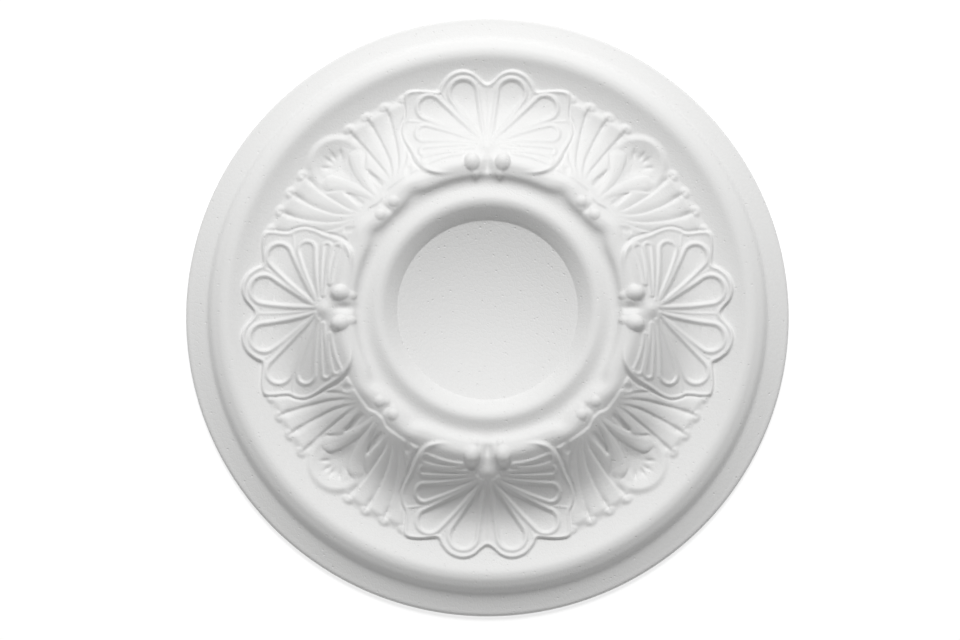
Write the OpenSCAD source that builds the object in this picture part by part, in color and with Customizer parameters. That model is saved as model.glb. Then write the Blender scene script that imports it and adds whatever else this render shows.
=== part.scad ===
// Ceiling rose: a round moulded foam ornament that is glued flat to a ceiling.
// It lies on its back here: the flat back is on z = 0 and the ornament faces +Z.
// Every ring is turned round the Z axis. Four shells and four groups of leaves
// are laid over the hollow between the outer bead and the carved lip.

/* [Overall] */
// Outer diameter of the rose
rose_d = 300; // [280:5:420]
// Height of the bare lip above the back, without its carved edging
lip_h = 32.5; // [28:0.5:44]

/* [Rim] */
// Height of the upright outer edge
edge_h = 2.4; // [1.5:0.1:4]
// Radius that rounds the outer edge
edge_r = 1.3; // [0.5:0.1:2]
// Width of the sloping band between the outer edge and the step
rim_w = 9.8; // [7:0.2:16]
// Height of the sloping band where it meets the step
rim_h = 6.2; // [5:0.1:8]
// Width of the steep step up to the bead
step_w = 6.6; // [4:0.2:10]
// Height of the step where it runs into the bead
step_h = 11.9; // [9:0.1:13]
// Width from the top of the step to the crest of the bead
bead_w = 3.6; // [2:0.2:6]
// Height of the bead
bead_h = 13; // [12:0.5:18]

/* [Hollow] */
// Width from the crest of the bead to the lowest ring of the hollow
hollow_w = 19.5; // [12:0.5:26]
// Height of the lowest ring of the hollow above the back
hollow_h = 8.4; // [6:0.2:11]

/* [Lip and inner ring] */
// Diameter of the crest of the lip
lip_d = 144; // [124:1:176]
// Width from the crest of the lip to the groove inside it
lip_w = 9.5; // [6:0.5:12]
// Depth of that groove below the bare lip
groove_d = 2.4; // [1:0.1:4]
// Width of the inner ring, from the groove to its crest
ring_w = 5.5; // [3:0.5:8]
// Height of the inner ring above the groove
ring_rise = 1; // [0.2:0.1:2]

/* [Centre disc] */
// Diameter of the flat disc in the middle
disc_d = 90; // [60:1:100]
// Height of the disc above the back
disc_h = 24; // [16:0.5:27]

/* [Shells] */
// Thickness of a shell's plate over the hollow
plate_t = 1.4; // [0.8:0.1:2.5]
// Height of the raised edge of each petal over the plate
petal_rim = 1.5; // [0.5:0.1:2.5]
// Height of the ridge round the outside of the plate
border_rim = 0.7; // [0.3:0.1:1.5]
// Radius of the round boss that the petals spread from
boss_r = 3.6; // [2:0.1:5]
// Radius of the two knobs on the lip below each shell
knob_r = 4.3; // [3:0.1:5.5]

/* [Leaves] */
// Thickness of the leaf ground over the hollow
leaf_t = 0.7; // [0.4:0.1:1.5]
// Height of each leaf's ridge over its two grooves
leaf_rim = 1.5; // [0.5:0.1:2.5]
// Angle that one group of leaves takes up
leaf_sweep = 50; // [36:1:60]
// Length of the teeth along the leaves' outer edge
tooth = 2.6; // [1:0.1:4]
// Radius of the pair of buds on the lip below the leaves
bud_r = 2.7; // [1.5:0.1:4]

/* [Hidden] */
foam = [0.95, 0.95, 0.94];

// Radii of the rings, worked inwards from the outer edge
rose_r = rose_d / 2;
step_r = rose_r - rim_w;
bead_foot_r = step_r - step_w;
bead_r = bead_foot_r - bead_w;
hollow_r = bead_r - hollow_w;
lip_r = lip_d / 2;
groove_r = lip_r - lip_w;
ring_r = groove_r - ring_w;
disc_r = disc_d / 2;
groove_h = lip_h - groove_d;
ring_h = groove_h + ring_rise;

// The slope of the hollow is steepest at this share of the way from lip to hollow
steep_share = 0.3;
steep_r = lip_r + steep_share * (hollow_r - lip_r);
steep_h = lip_h - 0.42 * (lip_h - hollow_h);

// Each ring of the profile is [radius, height, slope]. The curves between rings
// are cubics that leave and meet each ring at its slope.
rim_slope = -0.26;
rim_start_r = rose_r - edge_r;
rim_start_h = edge_h + edge_r;
rings = [
    [rim_start_r, rim_start_h, rim_slope],
    [step_r, rim_h, rim_slope - 0.1],
    [(step_r + bead_foot_r) / 2, (rim_h + step_h) / 2, -1.5],
    [bead_foot_r, step_h, -0.6],
    [bead_r, bead_h, 0],
    [hollow_r, hollow_h, 0],
    [steep_r, steep_h, -1.15],
    [lip_r, lip_h, 0],
    [groove_r, groove_h, 0],
    [ring_r, ring_h, 0],
    [disc_r, disc_h, 1.3]
];
curve_steps = 4;

// Height of a cubic from ring a to ring b at the share t of the way
function cubic(a, b, t) =
    let (run = b[0] - a[0])
    a[1] * (1 + 2 * t) * pow(1 - t, 2) + b[1] * t * t * (3 - 2 * t)
    + run * a[2] * t * pow(1 - t, 2) - run * b[2] * t * t * (1 - t);

// Points [radius, height] along the turned profile, from the rim to the disc
face_line = [
    for (i = [0 : len(rings) - 2])
        for (s = [0 : curve_steps - 1])
            let (t = s / curve_steps)
            [rings[i][0] + t * (rings[i + 1][0] - rings[i][0]),
             cubic(rings[i], rings[i + 1], t)],
    [disc_r, disc_h]
];

// Height of the turned face at a radius
function face_h(r) = lookup(r, face_line);

// The carving is drawn for this distance from the crest of the lip to the bead,
// and grows with the real one
drawn_reach = 58;
grow = (bead_r - lip_r) / drawn_reach;

// The carved solids run down through the body to this level below the back, and
// are then cut off flush with it
root_h = -5;

// --- Shells ---------------------------------------------------------------

// Distance from the crest of the lip out to the boss that the petals spread from
boss_out = 11.5 * grow;
boss_x = lip_r + boss_out;

// One side of the shell, as seen from the boss: [angle, half angle, length]
petals = [[18.5, 17, 36.5], [54, 12, 38.5], [77, 10, 38], [95.5, 7, 34], [109, 6, 30]];

// Outline of the plate on one side, as seen from the boss: [angle, distance]
plate_line = [
    [0, 34], [6, 36], [12, 40], [18, 41.5], [25, 41.5], [33, 39], [41, 38.5],
    [48, 43.5], [55, 48], [62, 45.5], [69, 43.5], [75, 46], [80, 46], [90, 41],
    [102, 39.5], [112, 34], [121, 25.5], [143, 17], [165, 14.5], [180, 14]
];

// Across a petal: [share of its half angle, height as a share of its raised edge]
petal_section = [[-1, -0.1], [-0.72, 1], [-0.36, 0.15], [0, 0], [0.36, 0.15], [0.72, 1]];
last_angle = petals[len(petals) - 1][0] + petals[len(petals) - 1][1];

// Rays of one side: [angle, length of the petal, height share, is it a petal]
petal_rays = [
    for (p = petals)
        for (c = petal_section)
            [p[0] + c[0] * p[1],
             p[2] * (abs(c[0]) == 1 ? 0.9 : 1 - 0.1 * pow(c[0], 4)), c[1]]
];
inner_rays = [for (a = [last_angle : 8 : 172]) [a, lookup(a, plate_line) * 0.7, -0.1]];
side_rays = concat(petal_rays, inner_rays);

// All the rays, once round the boss
rays = concat(
    [for (ray = side_rays) ray],
    [[180, 9, -0.1]],
    [for (i = [len(side_rays) - 1 : -1 : 0]) [-side_rays[i][0], side_rays[i][1], side_rays[i][2]]]
);

// Stations along a ray: the height of the raised edge and where it runs
function shell_stations(ray) =
    let (a = abs(ray[0]))
    let (edge = lookup(a, plate_line))
    let (tip = min(ray[1], edge - 3.2))
    let (rim = ray[2] * petal_rim)
    [
        [0.16 * tip, 0.5 * petal_rim + 0.5 * rim],
        [0.45 * tip, rim],
        [0.78 * tip, rim],
        [0.93 * tip, (a < last_angle ? 1 : 0) * petal_rim],
        [tip + 0.6, 0],
        [edge - 1.2, border_rim],
        [edge, 0]
    ];

// A point of the shell at an angle and a distance from the boss
function shell_point(angle, out, up) =
    let (x = boss_x + grow * out * cos(angle))
    let (y = grow * out * sin(angle))
    [x, y, max(face_h(norm([x, y])), face_h(norm([x, y]) + 1)) + plate_t + up];

module shell() {
    stations = [for (ray = rays) shell_stations(ray)];
    n = len(rays);
    m = len(stations[0]);
    top = [
        for (i = [0 : n - 1])
            for (j = [0 : m - 1])
                shell_point(rays[i][0], stations[i][j][0], stations[i][j][1])
    ];
    foot = [for (i = [0 : n - 1]) [top[i * m + m - 1][0], top[i * m + m - 1][1], root_h]];
    boss_top = n * m + n;
    boss_foot = boss_top + 1;
    points = concat(top, foot, [
        [boss_x, 0, face_h(boss_x) + plate_t + petal_rim],
        [boss_x, 0, root_h]
    ]);
    faces = [
        for (i = [0 : n - 1])
            let (k = (i + 1) % n)
            each concat(
                [[boss_top, k * m, i * m]],
                [for (j = [0 : m - 2]) [i * m + j, k * m + j, k * m + j + 1]],
                [for (j = [0 : m - 2]) [i * m + j, k * m + j + 1, i * m + j + 1]],
                [[i * m + m - 1, k * m + m - 1, n * m + k]],
                [[i * m + m - 1, n * m + k, n * m + i]],
                [[boss_foot, n * m + i, n * m + k]]
            )
    ];
    polyhedron(points, faces);
}

// The boss that the petals spread from, and the two knobs on the lip
module knobs() {
    translate([boss_x, 0, face_h(boss_x) + plate_t])
        sphere(r = boss_r, $fn = 32);
    for (side = [-1, 1]) {
        translate([lip_r + 1.8, side * 1.75 * knob_r, lip_h - knob_r / 4])
            sphere(r = knob_r, $fn = 32);
        translate([lip_r - 4.5, side * 1.5 * knob_r, lip_h - knob_r / 1.6])
            sphere(r = 0.8 * knob_r, $fn = 32);
    }
}

// --- Leaves ---------------------------------------------------------------

// Columns of the leaves are grooves and ridges in turn, from edge to edge
leaf_count = 11;
leaf_cols = 2 * leaf_count;

// Rows of the leaves: [share of the way out, ridge height share, spread share]
leaf_rows = [
    [0, 0.2, 0.72], [0.07, 0.2, 0.74], [0.14, 0.3, 0.77], [0.21, 0.5, 0.8], [0.28, 0.8, 0.83],
    [0.36, 1, 0.86], [0.52, 1, 0.91], [0.7, 1, 0.95], [0.88, 0.7, 0.98], [0.96, 0.3, 1]
];
leaf_in = lip_r - 1.5;
leaf_reach = 48.5 * grow;

// A point of the leaves at a column, a distance out and a height
function leaf_point(angle, r, up) =
    [r * cos(angle), r * sin(angle), max(face_h(r), face_h(r + 1)) + leaf_t + up];

// Triangles of a side wall, from its lower inner corner up to each point of its edge
function side_wall(first, count, corner, flip) = [
    for (j = [0 : count - 1])
        let (next = j < count - 1 ? first + j + 1 : corner + 1)
        flip ? [corner, next, first + j] : [corner, first + j, next]
];

module leaves() {
    n = leaf_cols + 1;
    m = len(leaf_rows) + 1;
    top = [
        for (i = [0 : leaf_cols])
            let (ridge = i % 2)
            let (angle = leaf_sweep * (i / leaf_cols - 0.5))
            each concat(
                [for (row = leaf_rows)
                    leaf_point(angle * row[2], leaf_in + leaf_reach * row[0],
                        ridge * row[1] * leaf_rim)],
                [leaf_point(angle, leaf_in + leaf_reach + ridge * tooth, ridge * 0.4 * leaf_rim)]
            )
    ];
    foot = [
        for (i = [0 : leaf_cols])
            each [[top[i * m][0], top[i * m][1], root_h],
                  [top[i * m + m - 1][0], top[i * m + m - 1][1], root_h]]
    ];
    f = n * m;
    faces = concat(
        [for (i = [0 : leaf_cols - 1])
            let (k = i + 1)
            each concat(
                [for (j = [0 : m - 2]) [i * m + j, k * m + j, k * m + j + 1]],
                [for (j = [0 : m - 2]) [i * m + j, k * m + j + 1, i * m + j + 1]],
                [[i * m + m - 1, k * m + m - 1, f + 2 * k + 1]],
                [[i * m + m - 1, f + 2 * k + 1, f + 2 * i + 1]],
                [[k * m, i * m, f + 2 * i]],
                [[k * m, f + 2 * i, f + 2 * k]],
                [[f + 2 * i, f + 2 * i + 1, f + 2 * k + 1]],
                [[f + 2 * i, f + 2 * k + 1, f + 2 * k]]
            )],
        side_wall(0, m, f, false),
        side_wall(leaf_cols * m, m, f + 2 * leaf_cols, true)
    );
    polyhedron(concat(top, foot), faces);
}

// The pair of buds on the lip below the leaves
module buds() {
    for (side = [-1, 1])
        translate([lip_r - 2.5, side * 1.8 * bud_r, lip_h - bud_r / 3])
            sphere(r = bud_r, $fn = 32);
}

// --- The turned body ------------------------------------------------------

module turned_body() {
    edge_steps = 4;
    edge_line = [
        for (s = [0 : edge_steps - 1])
            let (a = 90 * s / edge_steps)
            [rose_r - edge_r + edge_r * cos(a), edge_h + edge_r * sin(a)]
    ];
    rotate_extrude($fn = 180)
        polygon(concat([[0, 0], [rose_r, 0]], edge_line, face_line, [[0, disc_h]]));
}

// What is cut away below the flat back
module below_back() {
    translate([0, 0, 2 * root_h])
        cylinder(r = rose_r, h = -2 * root_h, $fn = 180);
}

module ceiling_rose() {
    color(foam)
        difference() {
            union() {
                turned_body();
                for (turn = [0 : 90 : 270]) {
                    rotate([0, 0, turn]) {
                        shell();
                        knobs();
                    }
                    rotate([0, 0, turn + 45]) {
                        leaves();
                        buds();
                    }
                }
            }
            below_back();
        }
}

ceiling_rose();
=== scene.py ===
# %% [markdown]
# # A moulded foam ceiling rose
#
# The rose is one round moulding of expanded polystyrene, glued flat to a ceiling
# round a lamp. From the edge inwards it has a sloping rim, a steep step with a
# bead on top, a hollow that carries four shells and four groups of leaves, a
# carved lip, a plain ring and a sunk flat disc. This lesson turns the plain form
# first, as on a lathe, then carves the ornament into the turned mesh, and ends
# with the foam's finish, the light and the camera.

# %% Load the frame
import math

import bpy
import numpy as np
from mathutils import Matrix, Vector


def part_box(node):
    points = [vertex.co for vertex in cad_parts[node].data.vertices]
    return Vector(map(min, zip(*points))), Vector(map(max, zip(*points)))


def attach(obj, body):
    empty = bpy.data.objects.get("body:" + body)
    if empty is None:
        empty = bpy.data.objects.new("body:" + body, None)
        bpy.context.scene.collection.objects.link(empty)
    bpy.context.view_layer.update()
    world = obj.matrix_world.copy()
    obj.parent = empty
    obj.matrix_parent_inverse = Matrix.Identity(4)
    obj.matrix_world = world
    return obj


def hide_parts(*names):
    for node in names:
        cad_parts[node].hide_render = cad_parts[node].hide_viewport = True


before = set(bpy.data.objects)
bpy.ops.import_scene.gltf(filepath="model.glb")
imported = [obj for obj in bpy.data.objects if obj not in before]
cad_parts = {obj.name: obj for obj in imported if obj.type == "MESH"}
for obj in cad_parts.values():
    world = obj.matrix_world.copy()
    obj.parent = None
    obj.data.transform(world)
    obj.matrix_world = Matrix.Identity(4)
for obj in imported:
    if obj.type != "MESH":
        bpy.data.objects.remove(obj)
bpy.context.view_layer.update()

low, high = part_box("ceiling_rose")
MM = 0.001
SKIN = 0.02  # the mesh stays this far inside the solid at the outside edge
rose_r = (high[0] - low[0]) / 2 / MM - SKIN
print("the frame is", round(2 * rose_r), "mm across and", round(high[2] / MM, 1), "mm high")

# %% [markdown]
# ## The turned profile
#
# A lathe hand would cut this form with one long template: half of its outline,
# spun round the middle. The outline is given by a few rings, each with a radius,
# a height and a slope, and a cubic curve runs from ring to ring. It could be
# drawn point by point, but slopes are what the eye reads on a white object, so
# they are named directly.

# %% The rings of the profile, in millimetres
# Each ring is (radius, height, slope), from the outer edge to the disc.
edge_round = 2.2
rim_top = 3.0
RINGS = [
    (rose_r - edge_round, rim_top, -0.42),
    (141.0, 5.8, -0.46),
    (139.4, 6.7, -0.8),
    (138.3, 8.3, -1.9),
    (134.2, 12.3, -0.7),
    (130.2, 13.4, 0.0),
    (126.8, 12.3, 0.55),
    (109.0, 7.3, 0.0),
    (97.0, 10.9, -0.64),
    (84.0, 22.0, -1.02),
    (76.0, 29.6, -0.88),
    (70.0, 32.8, 0.0),
    (65.6, 31.0, 1.25),
    (61.6, 28.9, 0.0),
    (57.8, 30.0, -0.42),
    (54.6, 31.0, 0.0),
    (50.0, 28.9, 1.0),
    (44.5, 23.3, 1.25),
]
DISC_H = RINGS[-1][1]


def profile_height(r):
    """Height of the turned face at each radius: cubics that pass the rings at their slopes."""
    rings = np.array(RINGS[::-1])
    k = np.clip(np.searchsorted(rings[:, 0], r) - 1, 0, len(rings) - 2)
    r0, z0, m0 = rings[k].T
    r1, z1, m1 = rings[k + 1].T
    run = r1 - r0
    t = np.clip((r - r0) / run, 0, 1)
    curve = (z0 * (1 + 2 * t) * (1 - t) ** 2 + z1 * t * t * (3 - 2 * t)
             + run * m0 * t * (1 - t) ** 2 - run * m1 * t * t * (1 - t))
    return np.where(r < rings[0, 0], DISC_H, curve)


print("profile:", len(RINGS), "rings, lip at", RINGS[10][1], "mm")

# %% [markdown]
# ## Tools for carving
#
# Every carved form is worked out from distances, the way a sculptor thinks of a
# gouge: how far a point lies from the edge of a petal, a leaf or a plate. Small
# helpers turn a distance into a height: a soft step makes an edge, a bump makes a
# ridge, a melt joins two forms without a crease. A spoon is the outline of a
# petal, narrow at its root, round and wide at its tip.

# %% Soft step, bump and melt
def soft_step(x, start, end):
    """0 before start, 1 after end, and a smooth rise between."""
    t = np.clip((x - start) / (end - start), 0, 1)
    return t * t * (3 - 2 * t)


def bump(x, width):
    """A smooth ridge: 1 at x = 0, falling to a third at the width."""
    return np.exp(-((x / width) ** 2))


def melt(a, b, reach):
    """The higher of two surfaces, with a round fillet where they meet."""
    share = np.clip(1 - np.abs(a - b) / reach, 0, 1)
    return np.maximum(a, b) + share * share * reach / 4


def ball_top(distance, radius, middle):
    """Height of a ball's upper side; far below the work beyond its edge."""
    rise = np.sqrt(np.clip(radius ** 2 - distance ** 2, 0, None))
    return middle + rise - 4 * np.clip(distance - radius, 0, None)


# %% A smooth curve through points
def through(x, points):
    """A smooth curve through (x, y) points, level at each end."""
    px, py = np.array(points, float).T
    slope = np.zeros(len(px))
    slope[1:-1] = (py[2:] - py[:-2]) / (px[2:] - px[:-2])
    k = np.clip(np.searchsorted(px, x) - 1, 0, len(px) - 2)
    run = px[k + 1] - px[k]
    t = np.clip((x - px[k]) / run, 0, 1)
    return (py[k] * (1 + 2 * t) * (1 - t) ** 2 + py[k + 1] * t * t * (3 - 2 * t)
            + run * slope[k] * t * (1 - t) ** 2 - run * slope[k + 1] * t * t * (1 - t))


# %% The spoon outline of a petal or a leaf
def spoon(u, v, root, tip, root_r, tip_r, bend=0.0):
    """Distance outside (+) or inside (-) a spoon from root to tip, each end a circle.
    bend pushes the middle sideways by that many millimetres."""
    along = np.subtract(tip, root)
    length = math.hypot(*along)
    c, s = along / length
    x = (u - root[0]) * c + (v - root[1]) * s
    y = -(u - root[0]) * s + (v - root[1]) * c
    share = np.clip(x / length, 0, 1)
    y = np.abs(y - 4 * bend * share * (1 - share))
    lean = (root_r - tip_r) / length
    rise = math.sqrt(1 - lean * lean)
    place = x * rise - y * lean
    side = y * rise + x * lean - root_r
    start = np.hypot(x, y) - root_r
    end = np.hypot(x - length, y) - tip_r
    return np.where(place < 0, start, np.where(place > rise * length, end, side))


# %% [markdown]
# ## The shells
#
# Each shell is a thin plate with a scalloped outline, laid over the slope of the
# hollow. Five petals a side spread from a boss near the lip. A petal is a sunk
# bowl inside a raised round edge; where two edges run side by side they leave a
# sharp groove with a fine rib in it. A thin ridge follows the outline of the
# plate and widens into a soft roll beside the lip. Two round knobs with short
# legs sit on the lip below the boss.
#
# A shell is worked out in its own place: u runs outward from the middle of the
# rose and v to the side, in millimetres. One side is given and mirrored.

# %% The shell's sizes
SHELL_U = 83.2
BOSS_U = 82.2
# Outline of the plate as seen from (SHELL_U, 0): (angle, distance)
PLATE = [(0, 33.2), (5, 34.8), (11, 39), (18, 41.6), (27, 42), (35, 40.2), (41, 38.6),
         (46.5, 42.5), (52, 47.5), (56, 50), (60, 48.6), (65, 46), (69.5, 44.6), (74, 45),
         (80, 44.6), (86, 42.8), (93, 40.4), (102, 39), (109, 38), (118, 35), (128, 30),
         (140, 24), (160, 19), (180, 18)]
# Crest line of each petal's edge: (root, tip, root radius, tip radius, bend, bowl depth, wall)
PETALS = [
    ((86.0, 2.2), (110.8, 12.0), 0.8, 7.2, 0.0, 1.4, 2.1),
    ((85.5, 3.9), (103.4, 28.8), 0.8, 6.3, -0.4, 1.3, 2.0),
    ((84.0, 5.6), (89.8, 31.2), 0.7, 4.4, -0.6, 1.0, 1.7),
    ((81.4, 7.6), (79.5, 31.6), 0.6, 2.0, -0.4, 0.9, 1.2),
    ((77.8, 13.0), (74.4, 30.2), 0.6, 2.0, -0.9, 0.8, 1.2),
]
PLATE_T = 1.3
RIM_H = 0.95
BORDER_H = 0.65


# %% The petals of a shell
def petal_relief(u, v):
    """Raised edges, sunk bowls and the fine ribs between the petals."""
    near = np.full_like(u, 99.0)
    second = np.full_like(u, 99.0)
    bowls = np.zeros_like(u)
    for root, tip, root_r, tip_r, bend, depth, wall in PETALS:
        d = spoon(u, v, root, tip, root_r, tip_r, bend)
        second = np.minimum(second, np.maximum(near, d))
        near = np.minimum(near, d)
        bowls = np.where(d < 0, depth * soft_step(-d, 0.1, wall), bowls)
    edges = RIM_H * (1 - soft_step(near, 0, 1.7))
    wide = soft_step(near, 0.35, 1.0)
    ribs = np.maximum(bump(second - near, 0.6), bump(v, 0.4)) * wide
    return edges - bowls + 0.4 * ribs * soft_step(u, 84, 90)


# %% The shell's relief
def shell_relief(u, v):
    """Height of a shell over the turned face, and the distance inside its outline."""
    v = np.abs(v)
    out = np.hypot(u - SHELL_U, v)
    angle = np.degrees(np.arctan2(v, u - SHELL_U))
    inside = through(angle, PLATE) - out
    side = soft_step(angle, 80, 112)
    near_lip = soft_step(np.hypot(u, v), 68, 74.5)
    plate = PLATE_T * soft_step(inside, 0, 1.6 + 1.8 * side) * near_lip
    border = (BORDER_H + 0.25 * side) * bump(inside - 1.9 - 1.5 * side, 0.85 + 0.6 * side)
    petals = petal_relief(u, v) * soft_step(inside, 2.2, 3.6)
    boss = 2.7 * bump(np.hypot(u - BOSS_U, v * 0.95), 4.0)
    return plate + border * near_lip + petals + boss, inside


# %% The knobs
KNOB_R = 4.0
KNOB_MIDDLE = 31.4


def knob_height(u, v):
    """Upper side of the two knobs on the lip, with their legs."""
    v = np.abs(v)
    ball = ball_top(np.hypot((u - 72.6) / 1.1, v - 7.6), KNOB_R, KNOB_MIDDLE)
    leg = ball_top(spoon(u, v, (67.0, 6.2), (72.6, 7.6), 2.4, 3.0) + 3.0, 3.0, 29.9)
    return melt(ball, leg, 2.5)


def knob_notch(u, v):
    """Depth of the notch that parts the two knobs."""
    return 2.6 * bump((u - 71) / 4.5, 1) * bump(v, 2.5)


print("shell:", len(PETALS), "petals a side, outline of", len(PLATE), "points a side")

# %% [markdown]
# ## The leaves
#
# Between two shells the slope is covered by long blades that rise from the lip
# and lean on each other: each blade has a steep edge towards the middle of its
# group and falls gently to the next one. A small blunt tooth caps every groove.
# In the middle a pair of fat leaves opens like a tulip round a deep oval, with a
# small fan of notches over it under a round arch. Two buds sit on the lip below.

# %% The leaves' sizes
# The steep edge of each blade: its angle off the group's middle at each radius
BLADES = [
    [(78, 6.2), (86, 5.4), (93, 4.6), (97, 6.0), (101, 8.2), (104, 8.6), (120, 8.2)],
    [(79, 7.8), (84, 8.5), (90, 8.7), (104, 8.6), (112, 8.1), (120, 8.3)],
    [(79, 8.6), (84, 10.6), (90, 12.2), (97, 13.0), (106, 13.5), (120, 13.3)],
    [(79, 10.6), (84, 13.2), (90, 15.4), (97, 16.9), (104, 18.0), (112, 18.6), (120, 18.6)],
    [(79, 12.6), (84, 15.8), (90, 18.6), (97, 20.8), (104, 22.4), (112, 23.6), (120, 23.8)],
    [(79, 15.5), (84, 19.0), (90, 22.0), (97, 25.0), (104, 27.2), (112, 28.6), (120, 29.0)],
]
TEETH = [8.2, 13.4, 18.6, 23.8]
TOOTH_R = 4.0
GROUND_R = 115.3
LEAF_T = 0.8
BLADE_H = 1.0


# %% The long blades
def blade_relief(r, angle):
    """Blades that are steep on the side of the group's middle and gentle on the other."""
    relief = np.zeros_like(r)
    edges = [through(r, blade) for blade in BLADES]
    for first, last in zip(edges, edges[1:]):
        width = np.maximum(last - first, 0.3)
        share = (angle - first) / width
        across = width * r / 57.3
        rise = np.clip(share * across / 1.5, 0, 1)
        fall = np.clip((1 - share) * across / 4.2, 0, 1)
        blade = rise * (2 - rise) * fall * (2 - fall)
        relief = np.where((share >= 0) & (share < 1), blade, relief)
    return BLADE_H * relief * soft_step(r, 77, 88) * soft_step(r, 117.5, 113)


# %% The tulip, its oval and the fan
ARCH_U = 105.0


def tulip_relief(u, v, r):
    """The pair of fat leaves, the oval between them, and the arch with its fan."""
    arch = np.hypot(u - ARCH_U, v)
    relief = 0.65 * bump(arch - 13.0, 2.2) * soft_step(u, 100, 106)
    oval = spoon(u, v, (96.4, 0), (106.8, 0), 1.0, 7.2)
    relief -= 1.2 * soft_step(-oval, -1.6, 4.6)
    fan = np.hypot(u - 102.5, v)
    fan_angle = np.degrees(np.arctan2(v, u - 102.5))
    for notch in (11, 40, 76):
        across = (fan_angle - notch) / 57.3 * fan
        relief -= 0.85 * bump(across, 0.8) * bump(fan - 8.2, 2.2)
    leaf = spoon(u, v, (78.5, 1.0), (101.2, 9.0), 1.4, 4.3, -1.5)
    body = 1.05 * np.sqrt(np.clip(-leaf / 2.6, 0, 1)) * soft_step(r, 76, 84)
    relief = np.where(leaf < 0, relief * soft_step(-leaf, 1.0, 0.0) + body, relief)
    pocket = spoon(u, v, (81.5, 6.6), (91.0, 7.4), 1.1, 1.5)
    return relief - 0.8 * soft_step(-pocket, -0.8, 1.2) * (leaf > 0)


# %% The leaves' relief
def leaf_relief(u, v):
    """Height of a group of leaves over the turned face."""
    v = np.abs(v)
    r = np.hypot(u, v)
    angle = np.degrees(np.arctan2(v, u))
    arch = np.hypot(u - ARCH_U, v)
    teeth = np.full_like(r, -9.0)
    pits = np.zeros_like(r)
    for tooth in TEETH:
        aside = (angle - tooth) / 57.3 * r
        teeth = np.maximum(teeth, TOOTH_R - np.hypot((r - GROUND_R) * 1.25, aside))
        pits = np.maximum(pits, bump(np.hypot((r - 110.6) / 1.9, aside), 1.4))
    edge = np.maximum(GROUND_R - r, np.where(u > 100, 16.0 - arch, -5))
    ground = LEAF_T * soft_step(edge, -0.6, 3.2) * (1 + 0.6 * soft_step(r, 86, 78))
    nibs = 1.05 * soft_step(teeth, 0, 3.0) * soft_step(r, 110, 114)
    relief = np.maximum(ground, nibs) + blade_relief(r, angle) + tulip_relief(u, v, r)
    relief -= 0.7 * pits
    pit = spoon(u, v, (73.5, 18.0), (77.0, 21.5), 1.0, 1.4)
    relief -= 0.7 * soft_step(-pit, -1.0, 1.0)
    return relief * soft_step(r - 1.8 * soft_step(v, 1, 7), 74.2, 76.2)


# %% The buds
BUD_R = 2.8
BUD_MIDDLE = 30.5


def bud_height(u, v):
    """Upper side of the two buds on the lip."""
    return ball_top(np.hypot(u - 70.2, np.abs(v) - 4.7), BUD_R, BUD_MIDDLE)


def bud_notch(u, v):
    """Depth of the notch that parts the two buds."""
    return 1.2 * bump((u - 70) / 3.2, 1) * bump(v, 1.6)


print("leaves:", len(BLADES), "blades and", len(TEETH), "teeth a side")

# %% [markdown]
# ## The whole face
#
# The turned face comes first. A shell lies over the leaves, so the leaves fade
# out under its outline. Knobs and buds are balls, let into the lip with a small
# fillet, as if they had been modelled in wax and pressed on.

# %% The whole face
def lip_swing(r, leaf_angle):
    """How far outward the crest of the lip swings beside the buds."""
    return 2.6 * bump(np.abs(leaf_angle) - 12, 5) * bump(r - 71, 6.5)


def in_place(r, turn, middle):
    """Coordinates along and across a motif whose middle line stands at a turn."""
    off = np.radians(turn - middle)
    return r * np.cos(off), r * np.sin(off)


def face_height(x, y):
    """Height of the finished face at places x, y, all in millimetres."""
    r = np.hypot(x, y)
    turn = np.degrees(np.arctan2(y, x))
    shell_turn = np.round(turn / 90) * 90
    leaf_turn = np.floor(turn / 90) * 90 + 45
    height = profile_height(r - lip_swing(r, turn - leaf_turn))
    u, v = in_place(r, turn, shell_turn)
    shells, inside = shell_relief(u, v)
    covered = soft_step(inside, -0.4, 1.2)
    along, across = in_place(r, turn, leaf_turn)
    leaves = leaf_relief(along, across) * (1 - covered)
    height = height + leaves + np.where(inside > 0, shells, 0)
    height = height - knob_notch(u, v) - bud_notch(along, across)
    height = melt(height, knob_height(u, v), 2.0)
    return melt(height, bud_height(along, across), 2.2)


# %% [markdown]
# ## Turning and carving the mesh
#
# The profile is drawn as a chain of points, extruded one by one from a single
# point, and spun once round the middle. Rings stand close together where the
# ornament is and far apart on the plain parts. Then every point of the face is
# lifted to its carved height.

# %% Where the rings of the mesh stand
def spaced(start, end, step):
    """Radii from start inwards to end, about a step apart, end left out."""
    count = max(1, round((start - end) / step))
    return [start + (end - start) * i / count for i in range(count)]


face_radii = (spaced(rose_r - edge_round, 141.5, 2.0) + spaced(141.5, 132, 0.7)
              + spaced(132, 124, 1.0) + spaced(124, 64, 0.55) + spaced(64, 46, 0.9)
              + spaced(46, 44, 0.4) + spaced(44, 6, 9.0) + [6.0])
edge_points = []
for step in range(5):
    a = math.radians(90 - 10) * step / 5
    edge_points.append((rose_r - edge_round + edge_round * math.cos(a),
                        rim_top - edge_round + edge_round * math.sin(a)))
chain = [(6.0, 0.0), (80.0, 0.0), (rose_r - 0.3, 0.0), (rose_r, 0.3)]
chain += edge_points
chain += [(r, float(profile_height(np.array([r]))[0])) for r in face_radii]
print("profile chain:", len(chain), "points")

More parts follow.
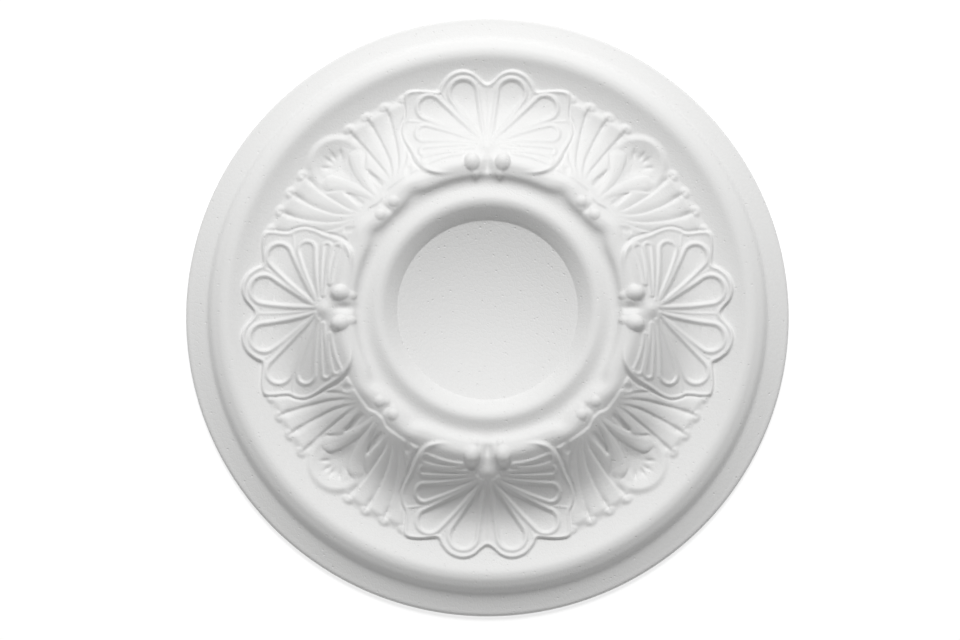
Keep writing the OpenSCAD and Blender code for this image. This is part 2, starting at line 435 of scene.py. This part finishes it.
# %% Draw the chain and spin it
SEGMENTS = 1080
bpy.ops.object.select_all(action="DESELECT")
first = Vector((chain[0][0], 0, chain[0][1])) * MM
bpy.ops.mesh.primitive_plane_add(size=MM, location=first)
rose = bpy.context.object
rose.name = "ceiling_rose_moulding"
bpy.ops.object.mode_set(mode="EDIT")
bpy.ops.mesh.merge(type="CENTER")
for a, b in zip(chain, chain[1:]):
    move = Vector((b[0] - a[0], 0, b[1] - a[1])) * MM
    bpy.ops.mesh.extrude_region_move(TRANSFORM_OT_translate={"value": move})
bpy.ops.mesh.select_all(action="SELECT")
bpy.ops.mesh.spin(steps=SEGMENTS, angle=math.tau, center=(0, 0, 0), axis=(0, 0, 1))
bpy.ops.mesh.remove_doubles(threshold=0.01 * MM)
bpy.ops.mesh.select_all(action="DESELECT")
bpy.ops.mesh.select_non_manifold()
bpy.ops.mesh.fill_holes(sides=0)
bpy.ops.mesh.select_all(action="SELECT")
bpy.ops.mesh.normals_make_consistent(inside=False)
bpy.ops.object.mode_set(mode="OBJECT")
bpy.ops.object.transform_apply(location=True, rotation=True, scale=True)
print("turned mesh:", len(rose.data.polygons), "faces")

# %% Carve the face
mesh = rose.data
points = np.empty(3 * len(mesh.vertices))
mesh.vertices.foreach_get("co", points)
points = points.reshape(-1, 3) / MM
radius = np.hypot(points[:, 0], points[:, 1])
on_face = (radius < rose_r - edge_round - 0.1) & (points[:, 2] > 1.0)
points[on_face, 2] = face_height(points[on_face, 0], points[on_face, 1])
mesh.vertices.foreach_set("co", (points * MM).ravel())
mesh.update()
print("carved", int(on_face.sum()), "points, highest at", round(float(points[:, 2].max()), 2), "mm")

# %% [markdown]
# ## Thinning the mesh
#
# The close grid of points was needed while carving, but the flat disc, the plain
# rings and the back don't need it afterwards. A Decimate modifier takes points
# away where the surface is nearly flat and leaves them where it is carved, so the
# finished mesh is light and the petals stay crisp.

# %% Thin and smooth
MOST_TRIANGLES = 196000
thin = rose.modifiers.new("thin", "DECIMATE")
triangles = sum(len(face.vertices) - 2 for face in mesh.polygons)
thin.ratio = min(1, MOST_TRIANGLES / triangles)
bpy.ops.object.modifier_apply(modifier="thin")
bpy.ops.object.shade_smooth()
print("thinned", triangles, "triangles to", len(rose.data.polygons))


# %% The foam
def foam_material():
    """Matte white expanded polystyrene: faint beads and a few pits."""
    mat = bpy.data.materials.new("white_foam")
    mat.use_nodes = True
    nodes, links = mat.node_tree.nodes, mat.node_tree.links
    shader = nodes["Principled BSDF"]
    shader.inputs["Roughness"].default_value = 0.62
    shader.inputs["Specular IOR Level"].default_value = 0.25
    coords = nodes.new("ShaderNodeTexCoord")

    beads = nodes.new("ShaderNodeTexVoronoi")
    beads.feature = "DISTANCE_TO_EDGE"
    beads.inputs["Scale"].default_value = 420
    links.new(coords.outputs["Object"], beads.inputs["Vector"])
    seam = nodes.new("ShaderNodeMapRange")
    seam.inputs["From Min"].default_value = 0.0
    seam.inputs["From Max"].default_value = 0.16
    links.new(beads.outputs["Distance"], seam.inputs["Value"])

    pits = nodes.new("ShaderNodeTexVoronoi")
    pits.inputs["Scale"].default_value = 230
    links.new(coords.outputs["Object"], pits.inputs["Vector"])
    pit = nodes.new("ShaderNodeMapRange")
    pit.inputs["From Min"].default_value = 0.05
    pit.inputs["From Max"].default_value = 0.14
    links.new(pits.outputs["Distance"], pit.inputs["Value"])

    bump_seam = nodes.new("ShaderNodeBump")
    bump_seam.inputs["Strength"].default_value = 0.12
    bump_seam.inputs["Distance"].default_value = 0.0003
    links.new(seam.outputs["Result"], bump_seam.inputs["Height"])
    bump_pit = nodes.new("ShaderNodeBump")
    bump_pit.inputs["Strength"].default_value = 0.4
    bump_pit.inputs["Distance"].default_value = 0.0005
    links.new(pit.outputs["Result"], bump_pit.inputs["Height"])
    links.new(bump_seam.outputs["Normal"], bump_pit.inputs["Normal"])
    links.new(bump_pit.outputs["Normal"], shader.inputs["Normal"])

    shader.inputs["Base Color"].default_value = (0.74, 0.74, 0.735, 1)
    return mat


rose.data.materials.clear()
rose.data.materials.append(foam_material())
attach(rose, "root")
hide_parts("ceiling_rose")

# %% Floor, light and camera
bpy.ops.object.select_all(action="DESELECT")
bpy.ops.mesh.primitive_plane_add(size=12, location=(0, 0, -0.0005))
floor = bpy.context.object
floor.name = "studio_floor"
paper = bpy.data.materials.new("studio_paper")
paper.use_nodes = True
paper.node_tree.nodes["Principled BSDF"].inputs["Base Color"].default_value = (0.4, 0.4, 0.4, 1)
paper.node_tree.nodes["Principled BSDF"].inputs["Emission Color"].default_value = (1, 1, 1, 1)
paper.node_tree.nodes["Principled BSDF"].inputs["Emission Strength"].default_value = 0.68
paper.node_tree.nodes["Principled BSDF"].inputs["Roughness"].default_value = 0.9
paper.node_tree.nodes["Principled BSDF"].inputs["Specular IOR Level"].default_value = 0.0
floor.data.materials.append(paper)

scene = bpy.context.scene
world = bpy.data.worlds.new("studio")
scene.world = world
world.use_nodes = True
world.node_tree.nodes["Background"].inputs["Color"].default_value = (1, 1, 1, 1)
world.node_tree.nodes["Background"].inputs["Strength"].default_value = 0.28

KEY_ELEVATION = math.radians(50)
key_data = bpy.data.lights.new("key", "AREA")
key_data.shape = "RECTANGLE"
key_data.size, key_data.size_y = 1.2, 0.8
key_data.energy = 44.5
key = bpy.data.objects.new("key", key_data)
scene.collection.objects.link(key)
key.location = Vector((0, math.cos(KEY_ELEVATION), math.sin(KEY_ELEVATION))) * 2.2
key.rotation_euler = (-key.location).to_track_quat("-Z", "Y").to_euler()

scene.view_settings.view_transform = "Standard"

# %% The camera
TILT = math.radians(7.1)
DISTANCE = 3.0
FIELD = 0.478
cam_data = bpy.data.cameras.new("camera")
cam_data.sensor_width = 36
cam_data.lens = 36 * DISTANCE / FIELD
cam = bpy.data.objects.new("camera", cam_data)
scene.collection.objects.link(cam)
aim = Vector((-0.0037, -0.0021, 0))
cam.location = aim + Vector((0, -math.sin(TILT), math.cos(TILT))) * DISTANCE
cam.rotation_euler = (TILT, 0, 0)
scene.camera = cam
